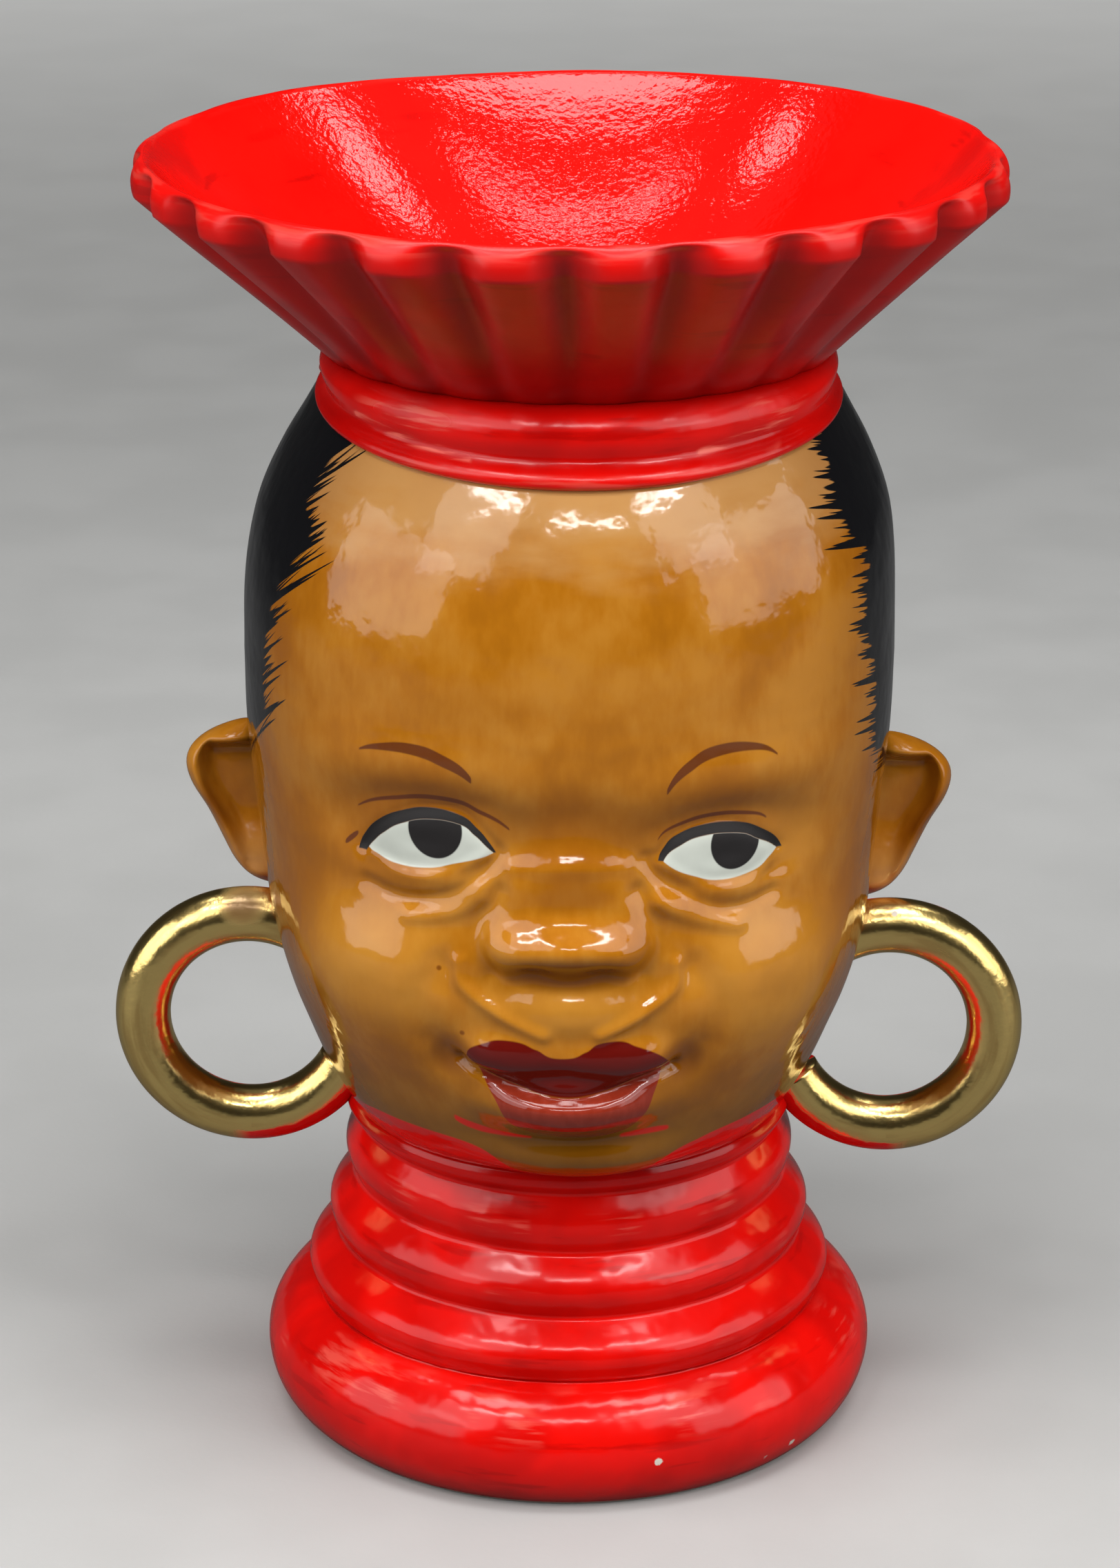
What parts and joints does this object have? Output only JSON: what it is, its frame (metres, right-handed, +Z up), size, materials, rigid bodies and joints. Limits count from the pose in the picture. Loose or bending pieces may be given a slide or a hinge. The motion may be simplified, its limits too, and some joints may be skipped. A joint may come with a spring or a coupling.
{
  "type": "head vase",
  "caption": "Glazed earthenware vase shaped as a head with a fluted flared brim as its mouth, a ringed collar, a rolled foot, ears and hoop earrings.",
  "frame": {"origin": "on the ground, under the middle of the foot", "axes": "+Z up to the rim; the face looks along -Y; +X to the viewer's right in front of the face"},
  "size_m": [0.142, 0.1285, 0.2],
  "materials": {
    "red_glaze": "glossy red glaze on earthenware, with brush streaks and pale wear on the edges",
    "brown_glaze": "glossy brown glaze on earthenware, shaded by brush, with the features and black hair painted on",
    "gold_lustre": "gold lustre over glaze, with red glaze showing behind and small pale chips"
  },
  "bodies": {
    "root": {"base_roll": "red_glaze", "ringed_collar": "red_glaze", "head_shell": "brown_glaze", "hat_band": "red_glaze", "fluted_brim": "red_glaze", "left_ear": "brown_glaze", "right_ear": "brown_glaze", "left_hoop": "gold_lustre", "right_hoop": "gold_lustre"}
  },
  "joints": []
}
